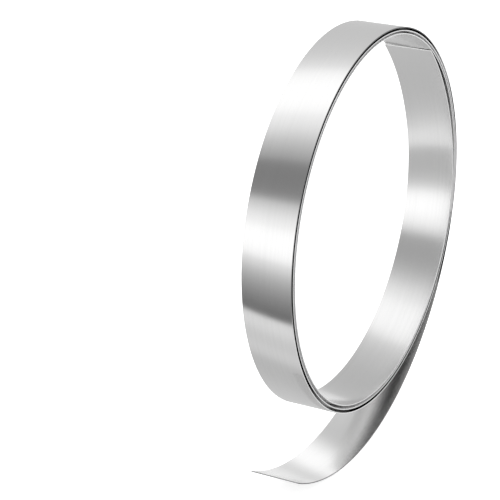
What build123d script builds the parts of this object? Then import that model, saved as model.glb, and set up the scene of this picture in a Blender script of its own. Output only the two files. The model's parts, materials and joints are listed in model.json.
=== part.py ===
from build123d import *
from math import copysign, degrees
import os

# Coil of flat stainless steel strip, wound a little over three turns, with its outer end sweeping free.
# Millimetres.  The coil stands upright: its axis is the Y axis, +Z is up, and the origin is the centre of
# the bore, half-way across the strip.  Angles are measured in the front view, looking along +Y, from +X
# counter-clockwise.  A bend is (mid-line radius, turn in degrees); a negative turn is clockwise.
# The real strip is one piece.  It is cut here into laps and stretches so that its two free ends can flex
# on spring hinges, with a narrow slit at each hinge and square faces that meet everywhere else.

# Strip stock
strip_width = 50.0
strip_thickness = 1.0

# Wound laps
bore_radius = 180.3        # inner face of the innermost lap
seam_angle = 60.0          # where every lap steps out to the next one
lap_pitch_seam = 3.0       # radial step from lap to lap on the seam side
lap_pitch_far = 3.8        # and on the opposite side, where the laps hang looser

# Inner end: a true circle, then a tighter bend, then a flatter stretch that springs back outwards until
# its tip all but rests on the lap outside it
round_turn = 260.0
tight_radius = 169.0
tight_turn = 56.0
inner_end_length = 122.0
inner_tip_clearance = 0.45

# Outer end: leaves the coil on the right and sweeps down and under it
leaving_angle = -14.5
tail_radius = 244.0
tail_length = 442.0
tail_root_length = 100.0   # the part of the tail that stays with the coil
tail_stretches = ("tail_upper", "tail_middle", "tail_tip")

# Slit at each spring hinge
flex_slit = 0.3

lap_radius = bore_radius + strip_thickness / 2
seam_point = Vector(lap_radius, 0).rotate(Axis.Z, seam_angle)


def follow(start, heading, bends):
    """Follow the mid-line through its bends; return the point and heading at the far end."""
    for radius, turn in bends:
        centre = start + Vector(0, copysign(radius, turn)).rotate(Axis.Z, heading)
        start = centre + (start - centre).rotate(Axis.Z, turn)
        heading += turn
    return start, heading


def arc(radius, length, direction):
    """Bend of a given length: direction is +1 for counter-clockwise, -1 for clockwise."""
    return radius, direction * degrees(length / radius)


def flatten_until(reach, start, heading, length):
    """Return the radius that puts the far end of a counter-clockwise arc this far from the coil's axis."""
    tighter = tight_radius
    flatter = 4 * bore_radius
    for _ in range(40):
        middle = (tighter + flatter) / 2
        tip, _ = follow(start, heading, [arc(middle, length, 1)])
        if tip.length < reach:
            tighter = middle
        else:
            flatter = middle
    return flatter


def make_stretch(name, start, heading, bends):
    """Make one stretch of the strip, with square ends, and write its STEP file."""
    with BuildPart() as stretch:
        with BuildSketch(Plane.XZ):
            with BuildLine():
                corners = []
                for side in (-strip_thickness / 2, strip_thickness / 2):
                    point = start + Vector(0, side).rotate(Axis.Z, heading)
                    course = heading
                    corners.append(point)
                    for radius, turn in bends:
                        tangent = Vector(1, 0).rotate(Axis.Z, course)
                        face = JernArc(point, tangent, radius - side * copysign(1, turn), turn)
                        point = face @ 1
                        course += turn
                    corners.append(point)
                Line(corners[0], corners[2])
                Line(corners[1], corners[3])
            make_face()
        extrude(amount=strip_width / 2, both=True)
    stretch.part.label = name
    export_step(stretch.part, f"parts/{name}.step")
    return follow(start, heading, bends)


def make_slit(name, start, heading, radius, direction):
    """Leave the slit of a spring hinge; print the hinge centre; return the point and heading past it."""
    hinge, _ = follow(start, heading, [arc(radius, flex_slit / 2, direction)])
    print(f"{name} hinge at x {hinge.X:.3f} z {hinge.Y:.3f}")
    return follow(start, heading, [arc(radius, flex_slit, direction)])


os.makedirs("parts", exist_ok=True)

# Innermost lap, from the seam counter-clockwise round to the slit of the inner end
inner_bends = [(lap_radius, round_turn), (tight_radius, tight_turn)]
point, heading = make_stretch("inner_lap", seam_point, seam_angle + 90, inner_bends)

# Free inner end, past its slit: its tip comes up beside the seam, where the next lap is as large as the first
tip_reach = lap_radius - strip_thickness - inner_tip_clearance
inner_end_radius = flatten_until(tip_reach, point, heading, inner_end_length)
point, heading = make_slit("inner_end", point, heading, inner_end_radius, 1)
inner_end_bend = arc(inner_end_radius, inner_end_length - flex_slit, 1)
make_stretch("inner_end", point, heading, [inner_end_bend])

# Outer laps, from the seam clockwise: each half turn is one arc, a half pitch larger than the one before
half_lap_radius = lap_radius
half_laps = []
for step in (lap_pitch_far, lap_pitch_seam, lap_pitch_far, lap_pitch_seam, lap_pitch_far):
    half_lap_radius += step / 2
    half_laps.append((half_lap_radius, -180.0))
last_radius, _ = half_laps.pop()

point, heading = make_stretch("middle_lap", seam_point, seam_angle - 90, half_laps[:2])
leaving_bend = (last_radius, leaving_angle - seam_angle)
tail_root_bend = arc(tail_radius, tail_root_length, -1)
outer_bends = half_laps[2:] + [leaving_bend, tail_root_bend]
point, heading = make_stretch("outer_lap", point, heading, outer_bends)

# Free outer end, in equal stretches past their slits
tail_stretch_length = (tail_length - tail_root_length) / len(tail_stretches)
for name in tail_stretches:
    point, heading = make_slit(name, point, heading, tail_radius, -1)
    tail_bend = arc(tail_radius, tail_stretch_length - flex_slit, -1)
    point, heading = make_stretch(name, point, heading, [tail_bend])
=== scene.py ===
import json
import math

import bmesh
import bpy
import numpy as np
from mathutils import Matrix, Vector


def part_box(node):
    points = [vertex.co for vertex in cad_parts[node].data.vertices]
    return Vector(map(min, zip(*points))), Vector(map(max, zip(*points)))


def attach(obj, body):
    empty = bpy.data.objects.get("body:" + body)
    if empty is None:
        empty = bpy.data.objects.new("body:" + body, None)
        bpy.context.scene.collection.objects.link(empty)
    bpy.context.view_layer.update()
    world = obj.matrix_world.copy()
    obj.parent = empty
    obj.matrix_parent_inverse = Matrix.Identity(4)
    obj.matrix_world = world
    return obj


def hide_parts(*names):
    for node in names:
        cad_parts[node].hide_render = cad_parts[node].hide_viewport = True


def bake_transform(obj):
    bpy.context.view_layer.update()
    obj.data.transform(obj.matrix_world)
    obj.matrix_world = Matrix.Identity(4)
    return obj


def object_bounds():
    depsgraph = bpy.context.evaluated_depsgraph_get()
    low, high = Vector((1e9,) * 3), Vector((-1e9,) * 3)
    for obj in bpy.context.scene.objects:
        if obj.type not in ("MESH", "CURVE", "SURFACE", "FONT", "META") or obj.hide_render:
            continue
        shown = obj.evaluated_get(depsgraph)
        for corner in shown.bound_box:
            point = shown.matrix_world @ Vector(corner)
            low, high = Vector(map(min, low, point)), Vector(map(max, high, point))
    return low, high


# Coil of stainless steel strip: one continuous band, wound a little over three turns, with two free ends.
# Metres, in the CAD frame: Y runs along the coil's axis, Z is up, and the origin is the centre of the bore.
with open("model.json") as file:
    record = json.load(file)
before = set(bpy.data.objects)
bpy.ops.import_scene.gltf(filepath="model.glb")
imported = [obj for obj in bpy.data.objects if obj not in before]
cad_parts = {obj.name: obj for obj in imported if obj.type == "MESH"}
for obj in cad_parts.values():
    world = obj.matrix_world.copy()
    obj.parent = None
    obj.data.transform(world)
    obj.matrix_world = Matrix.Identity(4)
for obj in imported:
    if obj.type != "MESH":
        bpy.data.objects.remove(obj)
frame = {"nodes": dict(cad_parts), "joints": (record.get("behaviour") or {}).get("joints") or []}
cad_low, cad_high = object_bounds()
mm = 0.001

# The laps and stretches of the strip, from the tip of its inner end to the tip of its outer end
stretches = ("inner_end", "inner_lap", "middle_lap", "outer_lap", "tail_upper", "tail_middle", "tail_tip")
strip_low, strip_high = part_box("tail_tip")
half_width = (strip_high.y - strip_low.y) / 2
edge_rounding = 0.14 * mm      # the slit edges are very slightly rolled over
rounding_steps = 4
station_spacing = 1.4 * mm     # distance between cross-sections
flex_reach = 45 * mm           # each free end bends over this length either side of its spring hinge


# ---------------------------------------------------------------- reading the strip's course off the frame

def front_outline(node):
    """The closed outline of a stretch on its front edge, as an ordered list of points."""
    model = bmesh.new()
    model.from_mesh(frame["nodes"][node].data)
    bmesh.ops.remove_doubles(model, verts=model.verts, dist=0.001 * mm)
    front = min(v.co.y for v in model.verts) + 0.01 * mm
    neighbours = {}
    for edge in model.edges:
        if max(v.co.y for v in edge.verts) < front:
            on_front = [all(v.co.y < front for v in face.verts) for face in edge.link_faces]
            if sum(on_front) == 1:
                a, b = (v.index for v in edge.verts)
                neighbours.setdefault(a, []).append(b)
                neighbours.setdefault(b, []).append(a)
    model.verts.ensure_lookup_table()
    start = min(neighbours)
    outline, before, here = [start], None, start
    while True:
        onward = [n for n in neighbours[here] if n != before]
        before, here = here, onward[0]
        if here == start:
            break
        outline.append(here)
    points = [(model.verts[i].co.x, model.verts[i].co.z) for i in outline]
    model.free()
    return np.array(points)


def long_faces(node):
    """The two long faces of a stretch, as rows of points that run the same way."""
    outline = front_outline(node)
    ahead = np.roll(outline, -1, axis=0) - outline
    behind = np.roll(ahead, 1, axis=0)
    turn = np.einsum("ij,ij->i", ahead, behind)
    corners = np.nonzero(turn < 0.3 * np.linalg.norm(ahead, axis=1) * np.linalg.norm(behind, axis=1))[0]
    outline = np.roll(outline, -corners[0], axis=0)
    corners = list(corners - corners[0]) + [len(outline)]
    outline = np.vstack([outline, outline[:1]])
    runs = [outline[a:b + 1] for a, b in zip(corners, corners[1:])]
    runs.sort(key=lambda run: np.linalg.norm(np.diff(run, axis=0), axis=1).sum())
    return runs[-1], runs[-2][::-1]


def distances_along(points):
    """How far along a row of points each one lies."""
    return np.concatenate([[0], np.cumsum(np.linalg.norm(np.diff(points, axis=0), axis=1))])


def smooth_through(points, places):
    """Points at these distances along a smooth curve through a row of points."""
    along = distances_along(points)
    slope = np.gradient(points, along, axis=0, edge_order=2)
    i = np.clip(np.searchsorted(along, places, side="right") - 1, 0, len(along) - 2)
    span = (along[i + 1] - along[i])[:, None]
    t = (places - along[i])[:, None] / span
    return (
        points[i] * (1 + 2 * t) * (1 - t) ** 2
        + points[i + 1] * t * t * (3 - 2 * t)
        + slope[i] * span * t * (1 - t) ** 2
        + slope[i + 1] * span * t * t * (t - 1)
    )


def mid_line(node):
    """The line half-way between the two long faces of a stretch."""
    sides = long_faces(node)
    length = distances_along(sides[0])[-1]
    count = max(3, round(length / (4 * mm)))
    rows = []
    for side in sides:
        rows.append(smooth_through(side, np.linspace(0, distances_along(side)[-1], count)))
    return (rows[0] + rows[1]) / 2


def whole_course():
    """The mid-line of the whole strip, with the slits bridged, and the places where its stretches end."""
    course = mid_line(stretches[0])
    ends = []
    joined = mid_line(stretches[1])
    nearness = [np.linalg.norm(end - joined, axis=1).min() for end in (course[0], course[-1])]
    if nearness[0] < nearness[1]:
        course = course[::-1]
    for node in stretches[1:]:
        ends.append(distances_along(course)[-1])
        line = mid_line(node)
        if np.linalg.norm(line[-1] - course[-1]) < np.linalg.norm(line[0] - course[-1]):
            line = line[::-1]
        shares_end = np.linalg.norm(line[0] - course[-1]) < 0.01 * mm
        course = np.vstack([course, line[1:] if shares_end else line])
    return course, ends


course, stretch_ends = whole_course()
course_length = distances_along(course)[-1]
outer_face, inner_face = long_faces("tail_tip")
half_thickness = np.linalg.norm(outer_face[0] - inner_face[0]) / 2


def place_of(joint):
    """Distance along the course to a spring hinge."""
    x, _, z = next(j["pos_m"] for j in frame["joints"] if j["name"] == joint)
    fine = np.arange(0, course_length, 0.5 * mm)
    return fine[np.argmin(np.linalg.norm(smooth_through(course, fine) - (x, z), axis=1))]


inner_flex = place_of("inner_flex")
tail_flex = [place_of(f"tail_flex_{n}") for n in (1, 2, 3)]
tail_root = 100 * mm           # the part of the tail that stays with the coil
outer_lap_radius = cad_high.z  # the outermost lap's top
tail_start = tail_flex[0] - tail_root
last_turn = tail_start - 2 * math.pi * outer_lap_radius

# Light comes through the gaps between the laps round these bearings: (middle, spread) in degrees
light_leaks = ((236, 18), (38, 16), (0, 18))
# From one lap's mid-line to the next: a gap up to the first is closed off, and past the second it is open
full_gap = 4.5 * mm
widest_gap = 7 * mm
# The outermost lap's slit edges are painted dark, as shade, between these bearings, over the top
edge_shade_start = 50
edge_shade_end = 197


# ---------------------------------------------------------------- building the strip

def strip_section():
    """The strip's cross-section as (off the mid-line, across) pairs, with rounded slit edges."""
    section = []
    for sign_off, sign_across, first_angle in ((1, 1, 0), (-1, 1, 90), (-1, -1, 180), (1, -1, 270)):
        off = sign_off * (half_thickness - edge_rounding)
        across = sign_across * (half_width - edge_rounding)
        for step in range(rounding_steps + 1):
            angle = math.radians(first_angle + 90 * step / rounding_steps)
            corner_off = off + edge_rounding * math.cos(angle)
            corner_across = across + edge_rounding * math.sin(angle)
            section.append((corner_off, corner_across))
    return section


def bearings(points):
    """Angles of points round the coil's axis, in degrees from +X towards +Z."""
    return np.degrees(np.arctan2(points[:, 1], points[:, 0])) % 360


def shade_for_edges(places, centres):
    """How much painted shade darkens each station's slit edges: on the tail, and on the outermost lap over
    the top.
    """
    on_tail = np.clip((places - tail_start) / (20 * mm), 0, 1)
    angle = bearings(centres)
    over_top = np.clip((angle - edge_shade_start) / 10, 0, 1) * np.clip((edge_shade_end - angle) / 12, 0, 1)
    return np.maximum(on_tail, over_top * (places > last_turn))


def leaking_light(centres):
    """How much light comes through the gaps beside each station."""
    leaks = np.zeros(len(centres))
    for middle, spread in light_leaks:
        off = (bearings(centres) - middle + 180) % 360 - 180
        leaks = np.maximum(leaks, np.exp(-((off / spread) ** 2)))
    return leaks


def hidden_sides(places, centres, sideways):
    """How far each station's outer and inner side faces a gap, as two masks: painted shade for the outermost
    lap's gap, and painted light for the gaps further in and where light comes through the outermost one.
    """
    fine = np.arange(0, course_length, 2 * mm)
    laps = smooth_through(course, fine)
    by_outermost = np.zeros((2, len(places)))
    by_inner = np.zeros((2, len(places)))
    leaks = leaking_light(centres)
    for i, (place, centre, off_way) in enumerate(zip(places, centres, sideways)):
        away = laps - centre
        other_turn = np.abs(fine - place) > outer_lap_radius
        for side, way in ((0, 1), (1, -1)):
            near = np.where(other_turn & (away @ off_way * way > 0), np.linalg.norm(away, axis=1), 1.0)
            beside = fine[np.argmin(near)]
            hidden = np.clip((widest_gap - near.min()) / (widest_gap - full_gap), 0, 1)
            hidden *= np.clip((min(place, beside) - inner_flex) / flex_reach, 0, 1)
            outermost = max(place, beside) > last_turn
            # Painted shade in the outermost gap; painted light where light comes through it, and in the gaps
            # further in
            by_outermost[side, i] = hidden * (1 - leaks[i]) if outermost else 0
            by_inner[side, i] = hidden * leaks[i] if outermost else hidden
    return by_outermost, by_inner


def stations(places):
    """The mid-line's points at these distances, and the directions square to it, towards the outer side."""
    step = 0.2 * mm
    ahead = smooth_through(course, np.clip(places + step, 0, course_length))
    behind = smooth_through(course, np.clip(places - step, 0, course_length))
    heading = (ahead - behind) / np.linalg.norm(ahead - behind, axis=1)[:, None]
    return smooth_through(course, places), np.stack([-heading[:, 1], heading[:, 0]], axis=1)


def make_strip(name, first_place, last_place):
    """A length of the strip between two distances along the course, with square ends."""
    count = max(2, math.ceil((last_place - first_place) / station_spacing))
    places = np.linspace(first_place, last_place, count + 1)
    centres, sideways = stations(places)
    section = strip_section()
    by_outermost, by_inner = hidden_sides(places, centres, sideways)
    shade_on_edges = shade_for_edges(places, centres)
    model = bmesh.new()
    layer = model.loops.layers.uv.new("strip_place")
    inner_side = model.verts.layers.float.new("inner_side")
    painted_gap_shade = model.verts.layers.float.new("painted_gap_shade")
    gap_haze_and_painted_light = model.verts.layers.float.new("gap_haze_and_painted_light")
    painted_edge_shade = model.verts.layers.float.new("painted_edge_shade")
    rings = []
    for i, (centre, off_way) in enumerate(zip(centres, sideways)):
        ring = []
        for off, across in section:
            x, z = centre + off_way * off
            vert = model.verts.new((x, across, z))
            side = 0 if off > 0 else 1
            vert[inner_side] = side
            vert[painted_edge_shade] = shade_on_edges[i]
            # The gap masks, painted shade and painted light, go on the long faces only
            if abs(across) < half_width - edge_rounding / 2:
                vert[painted_gap_shade] = by_outermost[side, i]
                vert[gap_haze_and_painted_light] = by_inner[side, i]
            ring.append(vert)
        rings.append(ring)
    for i in range(count):
        for k in range(len(section)):
            m = (k + 1) % len(section)
            face = model.faces.new((rings[i][k], rings[i][m], rings[i + 1][m], rings[i + 1][k]))
            face.smooth = True
            corner_places = (places[i], places[i], places[i + 1], places[i + 1])
            corner_across = (section[k][1], section[m][1], section[m][1], section[k][1])
            for loop, along, across in zip(face.loops, corner_places, corner_across):
                loop[layer].uv = (along, across)
    for ring, place in ((rings[0][::-1], places[0]), (rings[-1], places[-1])):
        face = model.faces.new(ring)
        for loop in face.loops:
            loop[layer].uv = (place, loop.vert.co.y)
        for edge in face.edges:
            edge.smooth = False
    bmesh.ops.recalc_face_normals(model, faces=model.faces)
    mesh = bpy.data.meshes.new(name)
    model.to_mesh(mesh)
    model.free()
    strip = bpy.data.objects.new(name, mesh)
    bpy.context.scene.collection.objects.link(strip)
    return strip


outer_lap_start = stretch_ends[stretches.index("middle_lap")]
cuts = [inner_flex + flex_reach + 5 * mm, outer_lap_start, tail_flex[0] - flex_reach - 5 * mm]
cuts += [(a + b) / 2 for a, b in zip(tail_flex, tail_flex[1:])]

inner_end_strip = make_strip("inner_end_strip", 0, cuts[0])
inner_turns_strip = make_strip("inner_turns_strip", cuts[0], cuts[1])
outer_turns_strip = make_strip("outer_turns_strip", cuts[1], cuts[2])
tail_strips = []
tail_names = ("tail_root_strip", "tail_middle_strip", "tail_tip_strip")
for name, first, last in zip(tail_names, cuts[2:], cuts[3:] + [course_length]):
    tail_strips.append(make_strip(name, first, last))
strip_pieces = [inner_end_strip, inner_turns_strip, outer_turns_strip, *tail_strips]


# ---------------------------------------------------------------- finishes, with painted light and shade

rolled_steel = (0.800, 0.799, 0.798, 1)
duller_line = (0.780, 0.779, 0.778, 1)
# Painted light: the brighter colour of gap walls that light comes through
lit_gap = (0.88, 0.88, 0.88, 1)
# Painted shade: the near black colour of the outermost gap's walls
unlit_gap = (0.06, 0.06, 0.06, 1)
bright_slit_edge = (0.96, 0.96, 0.965, 1)
# Painted shade: the dark colour of slit edges that lie in shade
shaded_slit_edge = (0.22, 0.22, 0.225, 1)
# Painted shade: the dark grey colour of the outer end's cut tip
shaded_cut_tip = (0.34, 0.34, 0.345, 1)


def new_group(name, inputs, outputs):
    """An empty shader node group with named sockets; returns it with its input and output nodes."""
    group = bpy.data.node_groups.new(name, "ShaderNodeTree")
    for socket_name, kind, value in inputs:
        socket = group.interface.new_socket(socket_name, in_out="INPUT", socket_type=kind)
        if value is not None:
            socket.default_value = value
    for socket_name, kind in outputs:
        group.interface.new_socket(socket_name, in_out="OUTPUT", socket_type=kind)
    return group, group.nodes.new("NodeGroupInput"), group.nodes.new("NodeGroupOutput")


def add_math(tree, operation, *values, clamp=False):
    """A Math node; each value is a number or an output socket. Returns its output socket."""
    node = tree.nodes.new("ShaderNodeMath")
    node.operation = operation
    node.use_clamp = clamp
    for i, value in enumerate(values):
        if isinstance(value, (int, float)):
            node.inputs[i].default_value = value
        else:
            tree.links.new(value, node.inputs[i])
    return node.outputs[0]


def add_noise(tree, place, per_metre, detail, roughness=0.5):
    """Noise over a place vector, with its own number of cells per metre along, across and through."""
    stretch = tree.nodes.new("ShaderNodeVectorMath")
    stretch.operation = "MULTIPLY"
    stretch.inputs[1].default_value = per_metre
    tree.links.new(place, stretch.inputs[0])
    noise = tree.nodes.new("ShaderNodeTexNoise")
    noise.inputs["Scale"].default_value = 1.0
    noise.inputs["Detail"].default_value = detail
    noise.inputs["Roughness"].default_value = roughness
    tree.links.new(stretch.outputs[0], noise.inputs["Vector"])
    return noise.outputs["Fac"]


def remap(tree, value, low, high, new_low, new_high):
    """Ease a value from one range to another. Returns the output socket."""
    node = tree.nodes.new("ShaderNodeMapRange")
    node.interpolation_type = "SMOOTHSTEP"
    for i, number in enumerate((low, high, new_low, new_high)):
        node.inputs[i + 1].default_value = number
    tree.links.new(value, node.inputs[0])
    return node.outputs[0]


def make_rolling_grain():
    """Fine lines along the strip, left by the rolls: their height, and a mask of the duller ones."""
    group, given, result = new_group(
        "rolling_grain",
        [("Strip Place", "NodeSocketVector", None)],
        [("Height", "NodeSocketFloat"), ("Dull Lines", "NodeSocketFloat")],
    )
    place = given.outputs["Strip Place"]
    hairlines = add_noise(group, place, (25, 7000, 0), 3)
    bands = add_noise(group, place, (4, 420, 0), 2)
    height = add_math(group, "MULTIPLY_ADD", hairlines, 0.7, add_math(group, "MULTIPLY", bands, 0.3))
    mixed = add_math(group, "MULTIPLY_ADD", hairlines, 0.4, add_math(group, "MULTIPLY", bands, 0.6))
    dull = remap(group, mixed, 0.35, 0.68, 0, 1)
    group.links.new(height, result.inputs["Height"])
    group.links.new(dull, result.inputs["Dull Lines"])
    return group


def make_handling_marks():
    """Very faint cloudy patches where the strip has been handled, and its slight waviness."""
    group, given, result = new_group(
        "handling_marks",
        [("Strip Place", "NodeSocketVector", None)],
        [("Cloudiness", "NodeSocketFloat"), ("Waviness", "NodeSocketFloat")],
    )
    place = given.outputs["Strip Place"]
    clouds = add_noise(group, place, (22, 55, 0), 4, 0.6)
    waves = add_noise(group, place, (9, 14, 0), 1)
    group.links.new(remap(group, clouds, 0.42, 0.75, 0, 1), result.inputs["Cloudiness"])
    group.links.new(waves, result.inputs["Waviness"])
    return group


def make_slit_edge():
    """A mask that is 1 on the slit edges of the strip, and fades out just inside them."""
    group, given, result = new_group(
        "slit_edge",
        [("Strip Place", "NodeSocketVector", None), ("Half Width", "NodeSocketFloat", 0.025)],
        [("Mask", "NodeSocketFloat")],
    )
    split = group.nodes.new("ShaderNodeSeparateXYZ")
    group.links.new(given.outputs["Strip Place"], split.inputs[0])
    from_middle = add_math(group, "ABSOLUTE", split.outputs["Y"])
    inset = add_math(group, "SUBTRACT", given.outputs["Half Width"], from_middle)
    group.links.new(remap(group, inset, 0.02 * mm, 0.3 * mm, 1, 0), result.inputs["Mask"])
    return group


def use_group(tree, group, place):
    """Put a node group in a material, fed with the place on the strip."""
    node = tree.nodes.new("ShaderNodeGroup")
    node.node_tree = group
    tree.links.new(place, node.inputs["Strip Place"])
    return node


def mix_colours(tree, factor, first, second):
    """Mix two colours, each a colour or an output socket. Returns the output socket."""
    node = tree.nodes.new("ShaderNodeMix")
    node.data_type = "RGBA"
    tree.links.new(factor, node.inputs[0])
    for socket, value in ((node.inputs[6], first), (node.inputs[7], second)):
        if isinstance(value, tuple):
            socket.default_value = value
        else:
            tree.links.new(value, socket)
    return node.outputs[2]


def read_mask(tree, name):
    """A mask that the strip's mesh carries on its vertices."""
    node = tree.nodes.new("ShaderNodeAttribute")
    node.attribute_name = name
    return node.outputs["Fac"]


def make_cold_rolled_stainless():
    """Satin cold rolled stainless: hazier on the strip's inner side, and brighter on its slit edges. Painted
    shade darkens the outermost gap, some slit edges and the cut tip, and painted light brightens the other
    gap walls.
    """
    material = bpy.data.materials.new("cold_rolled_stainless")
    material.use_nodes = True
    tree = material.node_tree
    steel = tree.nodes["Principled BSDF"]
    place_map = tree.nodes.new("ShaderNodeUVMap")
    place_map.uv_map = "strip_place"
    place = place_map.outputs["UV"]
    grain = use_group(tree, make_rolling_grain(), place)
    marks = use_group(tree, make_handling_marks(), place)
    edge = use_group(tree, make_slit_edge(), place)
    edge.inputs["Half Width"].default_value = half_width
    on_edge = edge.outputs["Mask"]
    painted_gap_shade = read_mask(tree, "painted_gap_shade")
    gap_haze_and_painted_light = read_mask(tree, "gap_haze_and_painted_light")

    along = tree.nodes.new("ShaderNodeSeparateXYZ")
    tree.links.new(place, along.inputs[0])
    cut_end = remap(tree, along.outputs["X"], course_length - 0.25 * mm, course_length - 0.1 * mm, 0, 1)
    dull_lines = grain.outputs["Dull Lines"]
    # Painted shade on the slit edges over the top of the outermost lap and along the tail
    edge_colour = mix_colours(tree, read_mask(tree, "painted_edge_shade"), bright_slit_edge, shaded_slit_edge)
    colour = mix_colours(tree, dull_lines, rolled_steel, duller_line)
    # Painted light, with real haze in the roughness, on the walls of the lit gaps
    colour = mix_colours(tree, gap_haze_and_painted_light, colour, lit_gap)
    # Painted shade on the walls of the outermost gap
    colour = mix_colours(tree, painted_gap_shade, colour, unlit_gap)
    colour = mix_colours(tree, on_edge, colour, edge_colour)
    # Painted shade on the outer end's cut tip
    colour = mix_colours(tree, cut_end, colour, shaded_cut_tip)
    tree.links.new(colour, steel.inputs["Base Color"])

    roughness = add_math(tree, "MULTIPLY_ADD", read_mask(tree, "inner_side"), 0.04, 0.13)
    roughness = add_math(tree, "MULTIPLY_ADD", dull_lines, 0.01, roughness)
    roughness = add_math(tree, "MULTIPLY_ADD", marks.outputs["Cloudiness"], 0.02, roughness)
    roughness = add_math(tree, "MULTIPLY_ADD", on_edge, 0.2, roughness)
    roughness = add_math(tree, "MAXIMUM", add_math(tree, "MULTIPLY", gap_haze_and_painted_light, 0.6), roughness)
    tree.links.new(roughness, steel.inputs["Roughness"])

    steel.inputs["Metallic"].default_value = 1.0
    steel.inputs["Anisotropic"].default_value = 0.6
    steel.inputs["Anisotropic Rotation"].default_value = 0.25
    lay = tree.nodes.new("ShaderNodeTangent")
    lay.direction_type = "UV_MAP"
    lay.uv_map = "strip_place"
    tree.links.new(lay.outputs["Tangent"], steel.inputs["Tangent"])

    waves = tree.nodes.new("ShaderNodeBump")
    waves.inputs["Strength"].default_value = 1.0
    waves.inputs["Distance"].default_value = 0.18 * mm
    tree.links.new(marks.outputs["Waviness"], waves.inputs["Height"])
    lines = tree.nodes.new("ShaderNodeBump")
    lines.inputs["Strength"].default_value = 0.14
    lines.inputs["Distance"].default_value = 0.004 * mm
    tree.links.new(grain.outputs["Height"], lines.inputs["Height"])
    tree.links.new(waves.outputs["Normal"], lines.inputs["Normal"])
    tree.links.new(lines.outputs["Normal"], steel.inputs["Normal"])
    return material


stainless = make_cold_rolled_stainless()
for strip in strip_pieces:
    strip.data.materials.append(stainless)


# ---------------------------------------------------------------- bodies

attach(inner_turns_strip, "coil")
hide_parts("inner_lap", "middle_lap")
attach(outer_turns_strip, "coil")
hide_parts("outer_lap")
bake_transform(inner_end_strip)
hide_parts("inner_end")
tail_bodies = ("coil", "tail_upper", "tail_middle", "tail_tip")
for strip, hinge, near, far in zip(tail_strips, tail_flex, tail_bodies, tail_bodies[1:]):
    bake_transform(strip)
    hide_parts(far)


# ---------------------------------------------------------------- floor, light and camera

floor_radius = 9.0
floor_gap = 0.2 * mm           # the floor lies this far below the strip
floor_glow = 0.45
room_brightness = 1.1


def make_floor():
    """A wide round floor, just under the lowest point of the strip."""
    model = bmesh.new()
    bmesh.ops.create_circle(model, cap_ends=True, segments=96, radius=floor_radius)
    mesh = bpy.data.meshes.new("floor")
    model.to_mesh(mesh)
    model.free()
    floor = bpy.data.objects.new("floor", mesh)
    floor.location.z = cad_low.z - floor_gap
    bpy.context.scene.collection.objects.link(floor)
    paint = bpy.data.materials.new("pale_floor")
    paint.use_nodes = True
    surface = paint.node_tree.nodes["Principled BSDF"]
    surface.inputs["Base Color"].default_value = (1.0, 1.0, 1.0, 1)
    surface.inputs["Roughness"].default_value = 1.0
    surface.inputs["Specular IOR Level"].default_value = 0.0
    surface.inputs["Emission Color"].default_value = (1, 1, 1, 1)
    surface.inputs["Emission Strength"].default_value = floor_glow
    mesh.materials.append(paint)
    floor.visible_glossy = False


# Brightness of the two light tents round the coil's axis, as (degrees from +X towards +Z, brightness).  The
# outer bands light the outermost lap and the tail.  The inner ones, with softer flags, light the other laps.
outer_bands = (
    (0, 0.64), (30, 0.66), (55, 0.735), (70, 0.91), (92, 1.28), (108, 1.08), (125, 0.63), (133, 0.42),
    (140, 0.255), (150, 0.27), (157, 0.65), (170, 1.13), (178, 1.28), (190, 0.91), (200, 0.51), (210, 0.30),
    (216, 0.22), (220.5, 0.18), (224.5, 0.86), (232, 0.80), (240, 0.71), (247, 0.74), (260, 0.585),
    (290, 0.63), (318, 0.66), (335, 0.95), (350, 0.82), (360, 0.64),
)
inner_bands = (
    (0, 0.62), (30, 0.57), (55, 0.645), (70, 0.79), (92, 1.20), (108, 1.02), (125, 0.615), (133, 0.49),
    (140, 0.44), (150, 0.44), (157, 0.74), (170, 1.22), (178, 1.29), (190, 0.93), (200, 0.61), (210, 0.55),
    (218, 0.57), (224, 0.85), (230, 0.93), (240, 0.77), (260, 0.59), (290, 0.60), (320, 0.64), (332, 0.90),
    (348, 0.90), (360, 0.62),
)
outer_tent_radius = 1.6
tent_spacing = 0.1             # the inner laps' tent stands outside the other by this much
tent_end_brightness = 0.6
low_card_brightness = 0.60


def add_see_through(tree, glow):
    """Let what is behind a glowing surface show through it."""
    both = tree.nodes.new("ShaderNodeAddShader")
    tree.links.new(glow, both.inputs[0])
    tree.links.new(tree.nodes.new("ShaderNodeBsdfTransparent").outputs[0], both.inputs[1])
    return both.outputs[0]


def start_glow(name):
    """An empty material for a glowing surface; returns it, its tree, and the parts of its object position."""
    glow = bpy.data.materials.new(name)
    glow.use_nodes = True
    glow.cycles.emission_sampling = "NONE"
    tree = glow.node_tree
    tree.nodes.clear()
    split = tree.nodes.new("ShaderNodeSeparateXYZ")
    tree.links.new(tree.nodes.new("ShaderNodeTexCoord").outputs["Object"], split.inputs[0])
    return glow, tree, split.outputs


def finish_glow(tree, strength, see_through):
    """Make a glowing surface shine this strongly, from an output socket."""
    emission = tree.nodes.new("ShaderNodeEmission")
    tree.links.new(strength, emission.inputs["Strength"])
    surface = add_see_through(tree, emission.outputs[0]) if see_through else emission.outputs[0]
    output = tree.nodes.new("ShaderNodeOutputMaterial")
    tree.links.new(surface, output.inputs["Surface"])


def stage_light(name, model, glow, pieces):
    """Place a glowing tent or card that only the reflections in these pieces show."""
    mesh = bpy.data.meshes.new(name)
    model.to_mesh(mesh)
    model.free()
    mesh.materials.append(glow)
    light = bpy.data.objects.new(name, mesh)
    bpy.context.scene.collection.objects.link(light)
    light.visible_camera = False
    light.visible_diffuse = False
    light.visible_shadow = False
    lit = bpy.data.collections.new(f"lit_by_{name}")
    for piece in pieces:
        lit.objects.link(piece)
    light.light_linking.receiver_collection = lit


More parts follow.
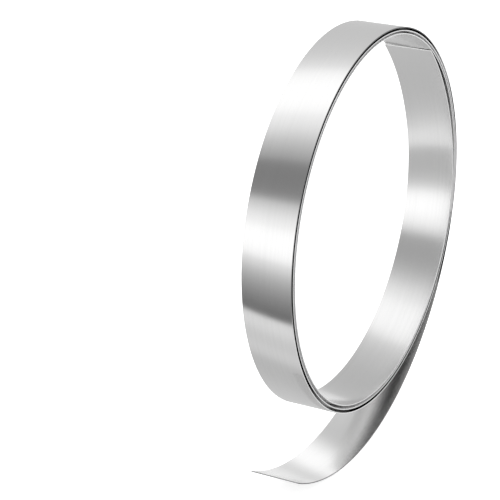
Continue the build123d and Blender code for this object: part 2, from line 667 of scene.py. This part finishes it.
def round_tent(radius):
    """The tent's cloth: a sphere about the coil's centre, with its poles on the coil's axis."""
    model = bmesh.new()
    rings, around = 48, 144
    turns = np.linspace(0, 2 * math.pi, around, endpoint=False)
    rows = []
    for i in range(1, rings):
        lean = math.pi * i / rings
        y, r = -radius * math.cos(lean), radius * math.sin(lean)
        rows.append([model.verts.new((r * math.cos(a), y, r * math.sin(a))) for a in turns])
    for low, high in zip(rows, rows[1:]):
        for k in range(around):
            m = (k + 1) % around
            model.faces.new((low[k], low[m], high[m], high[k]))
    model.faces.new(rows[0])
    model.faces.new(rows[-1])
    return model


def make_light_tent(name, tent_bands, radius, pieces, see_through):
    """Soft light round the coil's axis: bright panels above and to the left, dark flags beside them."""
    glow, tree, place = start_glow(f"{name}_cloth")
    turn = add_math(tree, "ARCTAN2", place["Z"], place["X"])
    turn = add_math(tree, "WRAP", add_math(tree, "DIVIDE", turn, 2 * math.pi), 1.0, 0.0)
    bands = tree.nodes.new("ShaderNodeFloatCurve")
    curve = bands.mapping.curves[0]
    brightest = max(value for _, value in tent_bands)
    curve.points[0].location = (0, tent_bands[0][1] / brightest)
    curve.points[-1].location = (1, tent_bands[-1][1] / brightest)
    for degrees, value in tent_bands[1:-1]:
        curve.points.new(degrees / 360, value / brightest)
    bands.mapping.update()
    tree.links.new(turn, bands.inputs["Value"])
    from_middle = add_math(tree, "ABSOLUTE", place["Y"])
    towards_end = remap(tree, from_middle, 0.7 * radius, 0.97 * radius, 0, 1)
    mix = tree.nodes.new("ShaderNodeMix")
    tree.links.new(towards_end, mix.inputs["Factor"])
    tree.links.new(add_math(tree, "MULTIPLY", bands.outputs[0], brightest), mix.inputs["A"])
    mix.inputs["B"].default_value = tent_end_brightness
    finish_glow(tree, mix.outputs["Result"], see_through)
    stage_light(name, round_tent(radius), glow, pieces)


def make_low_card():
    """A soft bright card, low down behind the tail and aimed at it, with edges that fade out."""
    x, near, far, low, high = 0.45, 0.03, 0.48, -0.22, 0.20
    model = bmesh.new()
    corners = [(x, near, low), (x, far, low), (x, far, high), (x, near, high)]
    model.faces.new([model.verts.new(corner) for corner in corners])
    glow, tree, place = start_glow("low_card_glow")
    from_near = remap(tree, place["Y"], near, near + 0.11, 0, 1)
    to_far = remap(tree, place["Y"], far - 0.14, far, 1, 0)
    from_low = remap(tree, place["Z"], low, low + 0.15, 0, 1)
    to_high = remap(tree, place["Z"], 0, high, 1, 0)
    across = add_math(tree, "MULTIPLY", from_near, to_far)
    upward = add_math(tree, "MULTIPLY", from_low, to_high)
    faded = add_math(tree, "MULTIPLY", across, upward)
    finish_glow(tree, add_math(tree, "MULTIPLY", faded, low_card_brightness), see_through=True)
    stage_light("low_card", model, glow, tail_strips)


def make_room_light():
    """Even, white, shadowless light for the floor."""
    world = bpy.data.worlds.new("room")
    world.use_nodes = True
    background = world.node_tree.nodes["Background"]
    background.inputs["Color"].default_value = (1, 1, 1, 1)
    background.inputs["Strength"].default_value = room_brightness
    bpy.context.scene.world = world


def make_camera():
    """A long lens to the left of the coil's front, looking down on it."""
    azimuth, elevation = math.radians(-61.592), math.radians(21.790)
    distance = 1.83902
    aim_left, aim_down = 0.10393, 0.03201      # the coil stands to the right of the middle, and a little high
    lens_per_sensor = 3.8
    level = math.cos(elevation)
    back = Vector((math.sin(azimuth) * level, -math.cos(azimuth) * level, math.sin(elevation)))
    right = Vector((math.cos(azimuth), math.sin(azimuth), 0))
    up = back.cross(right)
    camera = bpy.data.objects.new("camera", bpy.data.cameras.new("camera"))
    camera.data.sensor_width = 36
    camera.data.lens = lens_per_sensor * camera.data.sensor_width
    stand = back * distance - right * aim_left - up * aim_down
    camera.matrix_world = Matrix.Translation(stand) @ Matrix((right, up, back)).transposed().to_4x4()
    camera.data.clip_start = 0.05
    camera.data.clip_end = 100
    bpy.context.scene.collection.objects.link(camera)
    bpy.context.scene.camera = camera


make_floor()
outer_lit = [outer_turns_strip, *tail_strips]
inner_lit = [inner_end_strip, inner_turns_strip]
make_light_tent("outer_tent", outer_bands, outer_tent_radius, outer_lit, see_through=True)
make_light_tent("inner_tent", inner_bands, outer_tent_radius + tent_spacing, inner_lit, see_through=False)
make_low_card()
make_room_light()
make_camera()
bpy.context.scene.view_settings.view_transform = "Standard"
